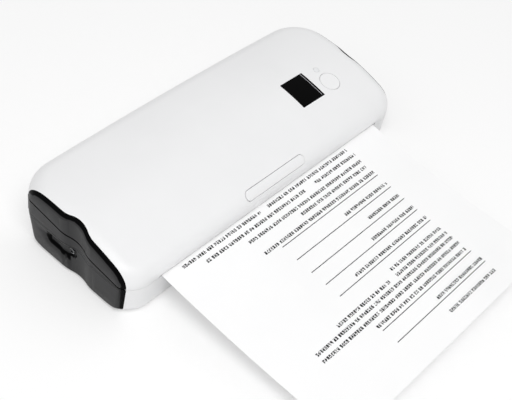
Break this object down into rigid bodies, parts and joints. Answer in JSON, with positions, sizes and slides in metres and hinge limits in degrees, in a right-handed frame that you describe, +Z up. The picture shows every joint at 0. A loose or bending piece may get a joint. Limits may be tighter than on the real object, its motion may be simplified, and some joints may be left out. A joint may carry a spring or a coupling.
{
  "type": "a4 portable thermal printer",
  "caption": "Soap-bar desk printer with black end caps, a hinged lid over a paper roll, a front paper slot, a small square display and a printed sheet lying out in front.",
  "frame": {"origin": "centre of the underside of the middle rubber foot, in the plane that all five feet stand on", "axes": "+X along the body to its right end, +Y from the paper slot to the hinge, +Z up"},
  "size_m": [0.264, 0.2516, 0.0505],
  "materials": {
    "white_plastic": "satin",
    "black_plastic": "satin",
    "dark_plastic": "matte",
    "rubber": "matte",
    "steel": "brushed",
    "gear_plastic": "satin",
    "brass": "polished",
    "circuit_board": "satin",
    "chip_black": "matte",
    "battery_film": "gloss",
    "display": "gloss",
    "light_pipe": "satin",
    "paper": "matte",
    "card": "matte",
    "ceramic": "satin",
    "aluminium": "satin"
  },
  "bodies": {
    "base": {"base_shell": "white_plastic", "left_base_cap": "black_plastic", "right_base_cap": "black_plastic", "rubber_feet": "rubber", "base_screws": "steel", "paper_tray": "dark_plastic", "paper_sheet": "paper", "platen_bushes": "gear_plastic", "gear_plate": "steel", "left_bracket": "steel", "idler_stud": "steel", "motor": "steel", "tear_strip": "steel", "main_board": "circuit_board", "board_chips": "chip_black", "board_screws": "steel", "battery_pack": "battery_film", "usb_board": "circuit_board", "usb_socket": "steel", "hinge_pins": "steel"},
    "lid": {"lid_shell": "white_plastic", "left_lid_cap": "black_plastic", "right_lid_cap": "black_plastic", "lcd_window": "display", "lcd_module": "display", "control_board": "circuit_board", "status_light": "light_pipe", "lid_frame": "dark_plastic", "frame_screws": "steel", "head_springs": "steel", "latch_springs": "steel"},
    "platen": {"platen_shaft": "steel", "platen_rubber": "rubber", "platen_gear": "gear_plastic"},
    "idler": {"idler_gear": "gear_plastic"},
    "pinion": {"motor_pinion": "brass"},
    "roll": {"paper_roll": "paper", "roll_core": "card", "roll_holders": "dark_plastic"},
    "guide": {"guide_roller": "gear_plastic"},
    "head": {"print_head": "ceramic", "head_heatsink": "aluminium"},
    "latch": {"latch_bar": "dark_plastic"},
    "release": {"release_button": "white_plastic"},
    "power": {"power_button": "white_plastic"}
  },
  "joints": [
    {"name": "lid_hinge", "type": "hinge", "parent": "base", "child": "lid", "pos_m": [0, 0.0474, 0.02315], "axis": [-1, 0, 0], "range_deg": [0, 80]},
    {"name": "latch_slide", "type": "slide", "parent": "lid", "child": "latch", "axis": [0, 1, 0], "range_m": [0, 0.0015], "stiffness_N_per_m": 300, "springref_m": -0.001, "deforming": ["latch_springs"]},
    {"name": "release_press", "type": "slide", "parent": "lid", "child": "release", "axis": [0, 0.7133, -0.7009], "range_m": [0, 0.002], "stiffness_N_per_m": 200, "springref_m": -0.001},
    {"name": "power_press", "type": "slide", "parent": "lid", "child": "power", "axis": [0, 0.1856, -0.9826], "range_m": [0, 0.0005], "stiffness_N_per_m": 1500, "springref_m": -0.0003},
    {"name": "head_float", "type": "slide", "parent": "lid", "child": "head", "axis": [0, 0, 1], "range_m": [0, 0.0008], "stiffness_N_per_m": 4000, "springref_m": -0.001, "deforming": ["head_springs"]},
    {"name": "platen_spin", "type": "hinge", "parent": "base", "child": "platen", "pos_m": [0, -0.036, 0.0161], "axis": [1, 0, 0], "continuous": true},
    {"name": "idler_spin", "type": "hinge", "parent": "base", "child": "idler", "pos_m": [0.113, -0.02018, 0.0126], "axis": [1, 0, 0], "continuous": true},
    {"name": "pinion_spin", "type": "hinge", "parent": "base", "child": "pinion", "pos_m": [0.113, -0.00939, 0.0121], "axis": [1, 0, 0], "continuous": true},
    {"name": "roll_spin", "type": "hinge", "parent": "base", "child": "roll", "pos_m": [0, 0.02, 0.0246], "axis": [1, 0, 0], "continuous": true},
    {"name": "guide_spin", "type": "hinge", "parent": "lid", "child": "guide", "pos_m": [0, -0.023, 0.02567], "axis": [1, 0, 0], "continuous": true}
  ],
  "couplings": [
    {"joint": "latch_slide", "follows": "release_press", "ratio": 0.71325},
    {"joint": "idler_spin", "follows": "platen_spin", "ratio": -1.25},
    {"joint": "pinion_spin", "follows": "platen_spin", "ratio": 2.5},
    {"joint": "roll_spin", "follows": "platen_spin", "ratio": 0.35135},
    {"joint": "guide_spin", "follows": "platen_spin", "ratio": -2.6}
  ]
}
